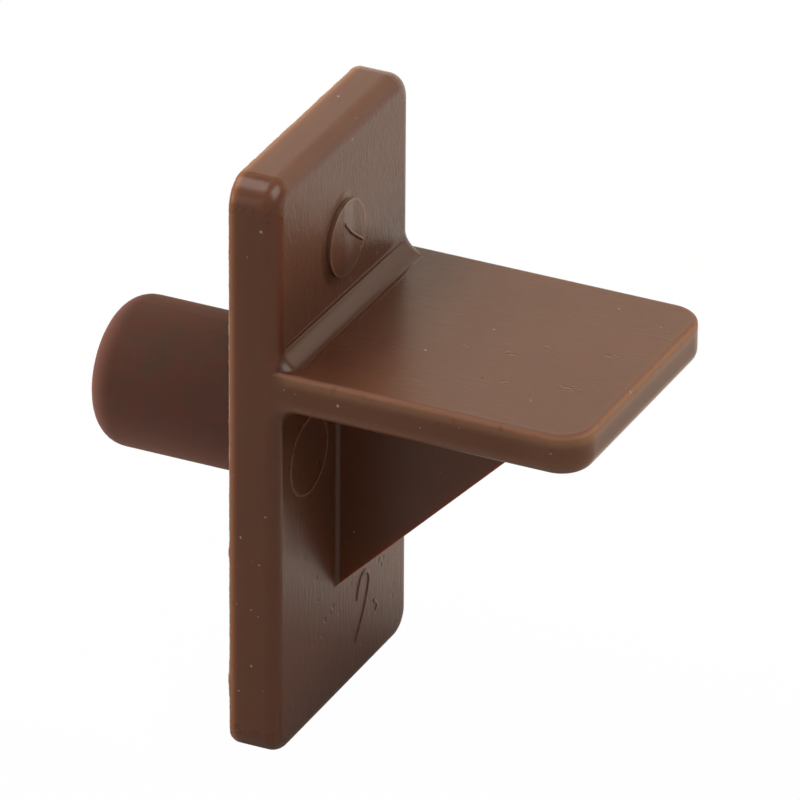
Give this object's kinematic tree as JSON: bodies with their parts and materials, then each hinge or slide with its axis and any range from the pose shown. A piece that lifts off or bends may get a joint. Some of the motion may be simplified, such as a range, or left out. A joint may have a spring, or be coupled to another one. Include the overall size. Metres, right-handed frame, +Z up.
{
  "type": "shelf support pin",
  "caption": "Plastic shelf support: a backing plate with a flat ledge braced by a triangular rib, and a round pin behind it that plugs into a drilled cabinet side.",
  "frame": {"origin": "on the pin's axis, at the back face of the plate", "axes": "+Y along the pin into the cabinet side, +Z up, the ledge pointing along -Y"},
  "size_m": [0.0122, 0.0231, 0.0254],
  "materials": {
    "brown_plastic": "semi-gloss brown moulded plastic"
  },
  "bodies": {
    "root": {"shelf_support": "brown_plastic"}
  },
  "joints": []
}
